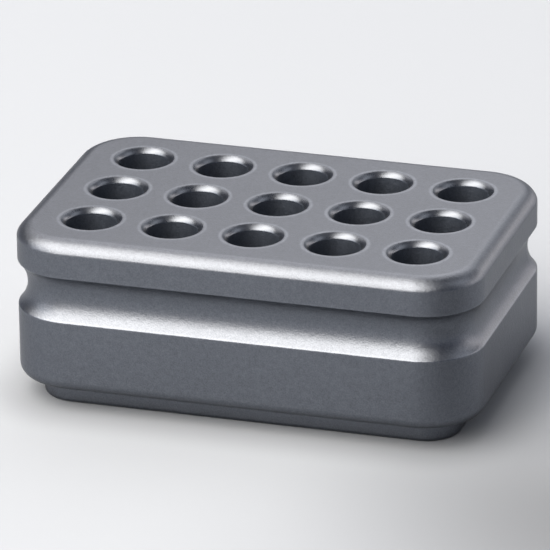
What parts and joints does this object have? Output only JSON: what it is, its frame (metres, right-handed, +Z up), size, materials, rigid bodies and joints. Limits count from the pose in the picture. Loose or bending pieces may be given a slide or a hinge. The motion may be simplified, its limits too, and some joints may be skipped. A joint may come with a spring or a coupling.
{
  "type": "microcentrifuge tube rack",
  "caption": "Solid metal block with rounded corners and edges, a grid of round wells for small lab tubes, a finger groove round its sides and a stepped-in foot.",
  "frame": {"origin": "middle of the flat underside of the foot", "axes": "+X along the rows of wells, the long way of the block; +Y from the front face to the back; +Z up, out of the wells"},
  "size_m": [0.1028, 0.0664, 0.0388],
  "materials": {
    "anodised_aluminium": "bead-blasted and anodised dark grey, satin"
  },
  "bodies": {
    "root": {"rack_block": "anodised_aluminium"}
  },
  "joints": []
}
